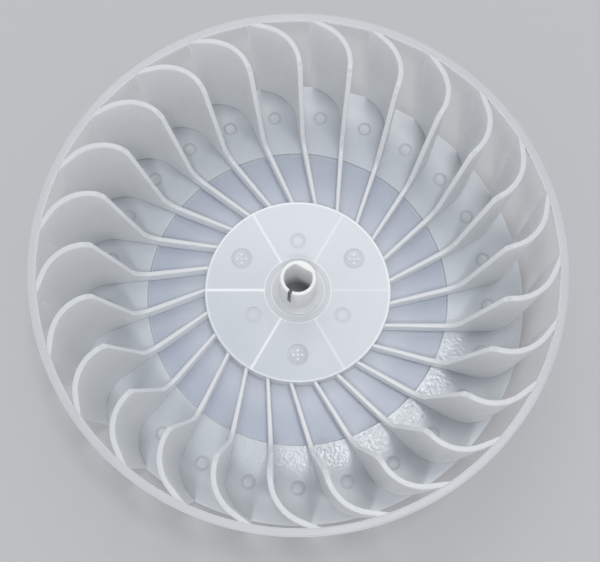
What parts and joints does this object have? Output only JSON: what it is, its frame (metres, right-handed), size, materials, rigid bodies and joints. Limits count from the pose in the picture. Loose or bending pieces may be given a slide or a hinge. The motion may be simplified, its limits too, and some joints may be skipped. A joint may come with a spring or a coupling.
{
  "type": "blower wheel",
  "caption": "Dryer blower wheel moulded in natural plastic: forward-bent blades between a back plate and an inlet ring, with a split collar for a shaft with a flat.",
  "frame": {"origin": "middle of the flat back, on the wheel's axis, where it lies on the ground", "axes": "+Z along the shaft's axis, from the back plate to the inlet ring; +X and +Y in the plane of the back plate"},
  "size_m": [0.2099, 0.21, 0.0645],
  "materials": {
    "natural_plastic": "satin, slightly translucent"
  },
  "bodies": {
    "root": {"blower_wheel": "natural_plastic"}
  },
  "joints": []
}
